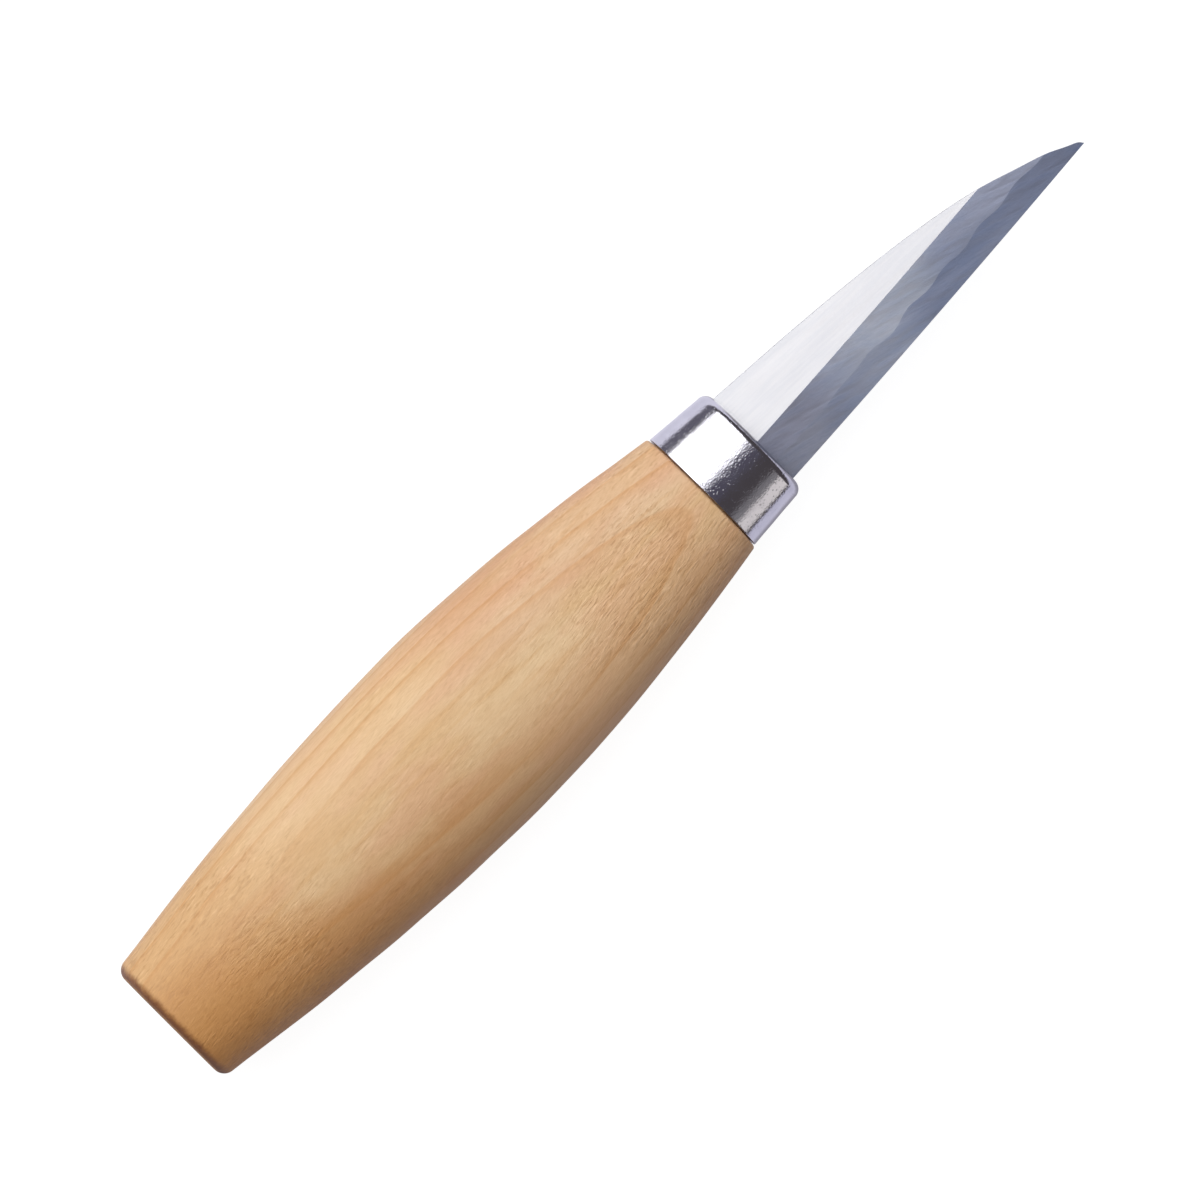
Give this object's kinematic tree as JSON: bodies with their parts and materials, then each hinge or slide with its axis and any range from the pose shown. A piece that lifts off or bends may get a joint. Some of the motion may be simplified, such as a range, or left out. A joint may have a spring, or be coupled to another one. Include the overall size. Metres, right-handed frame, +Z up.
{
  "type": "whittling knife",
  "caption": "Short fixed-blade whittling knife: laminated straight-edged blade, oval steel ferrule and barrel-shaped birch handle with a through tang.",
  "frame": {"origin": "on the surface that the knife lies on, under the middle of its bounding box", "axes": "+X along the knife towards the tip, +Y across the blade towards the spine, +Z up through the blade's thickness"},
  "size_m": [0.165, 0.0286, 0.02],
  "materials": {
    "birch": "sanded and oiled birch, satin",
    "plated_steel": "bright nickel plate on drawn steel",
    "core_steel": "hardened high-carbon steel, fine ground",
    "side_steel": "softer steel, polished flats and fine ground bevels",
    "glue": "set adhesive, out of sight"
  },
  "bodies": {
    "root": {"handle": "birch", "ferrule": "plated_steel", "blade_core": "core_steel", "blade_cladding_right": "side_steel", "blade_cladding_left": "side_steel", "tang_glue": "glue"}
  },
  "joints": []
}
